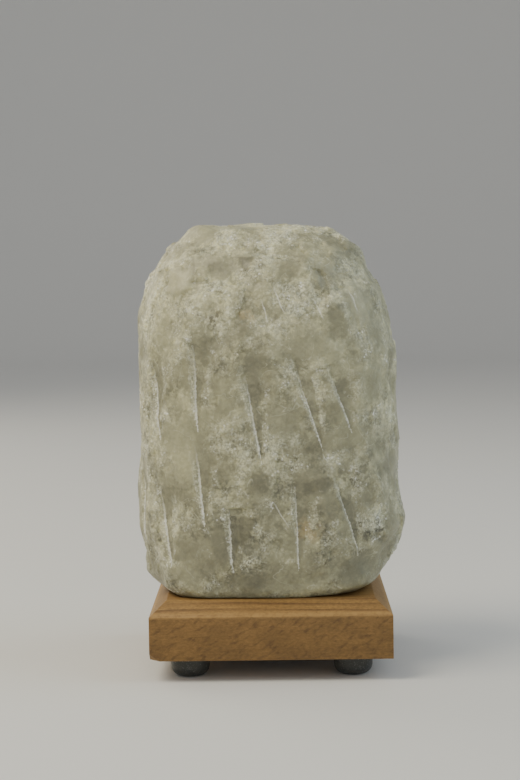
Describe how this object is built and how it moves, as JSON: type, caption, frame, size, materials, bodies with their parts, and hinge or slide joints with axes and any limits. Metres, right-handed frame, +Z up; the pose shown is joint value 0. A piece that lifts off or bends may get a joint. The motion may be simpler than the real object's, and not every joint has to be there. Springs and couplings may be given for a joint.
{
  "type": "rock crystal table lamp",
  "caption": "Hewn cloudy rock crystal block with chisel marks on a square bevelled wooden base with round rubber feet, with a screw-in bulb in a pull-out holder inside.",
  "frame": {"origin": "on the surface that the feet stand on, under the middle of the base", "axes": "+Z up, front towards -Y, +X to the right seen from the front"},
  "size_m": [0.1142, 0.1, 0.188],
  "materials": {
    "hewn_rock": "cloudy translucent, hewn",
    "beech": "sanded, clear oiled",
    "foot_rubber": "translucent, satin",
    "plug_plastic": "matt",
    "screw_steel": "zinc plated",
    "holder_plastic": "fine matt",
    "spring_steel": "satin",
    "rivet_steel": "satin",
    "carrier_ceramic": "unglazed",
    "shell_brass": "drawn sheet",
    "contact_brass": "rolled strip",
    "terminal_brass": "machined",
    "terminal_steel": "zinc plated",
    "cap_metal": "bright drawn",
    "black_glass": "glossy fused glass",
    "solder": "soft solder",
    "clear_glass": "clear",
    "stem_glass": "clear",
    "lead_wire": "drawn wire",
    "tungsten": "coiled wire"
  },
  "bodies": {
    "lamp_base": {"crystal_block": "hewn_rock", "wall_plugs": "plug_plastic", "crystal_screws": "screw_steel", "base_block": "beech", "foot_front_left": "foot_rubber", "foot_front_right": "foot_rubber", "foot_back_left": "foot_rubber", "foot_back_right": "foot_rubber"},
    "lamp_holder": {"holder_cap": "holder_plastic", "holder_sleeve": "holder_plastic", "holder_spring_left": "spring_steel", "holder_spring_right": "spring_steel", "spring_rivets": "rivet_steel", "contact_carrier": "carrier_ceramic", "threaded_shell": "shell_brass", "centre_contact": "contact_brass", "side_contact": "contact_brass", "terminal_live": "terminal_brass", "terminal_neutral": "terminal_brass", "terminal_screws": "terminal_steel"},
    "bulb": {"bulb_cap": "cap_metal", "bulb_insulator": "black_glass", "bulb_tip": "solder", "bulb_glass": "clear_glass", "bulb_stem": "stem_glass", "bulb_lead_wires": "lead_wire", "bulb_filament": "tungsten"}
  },
  "joints": [
    {"name": "holder_slide", "type": "slide", "parent": "lamp_base", "child": "lamp_holder", "axis": [0, 0, -1], "range_m": [0, 0.08]},
    {"name": "bulb_turn", "type": "hinge", "parent": "lamp_holder", "child": "bulb", "pos_m": [0, 0, 0.045], "axis": [0, 0, 1], "range_deg": [0, 1440]}
  ]
}
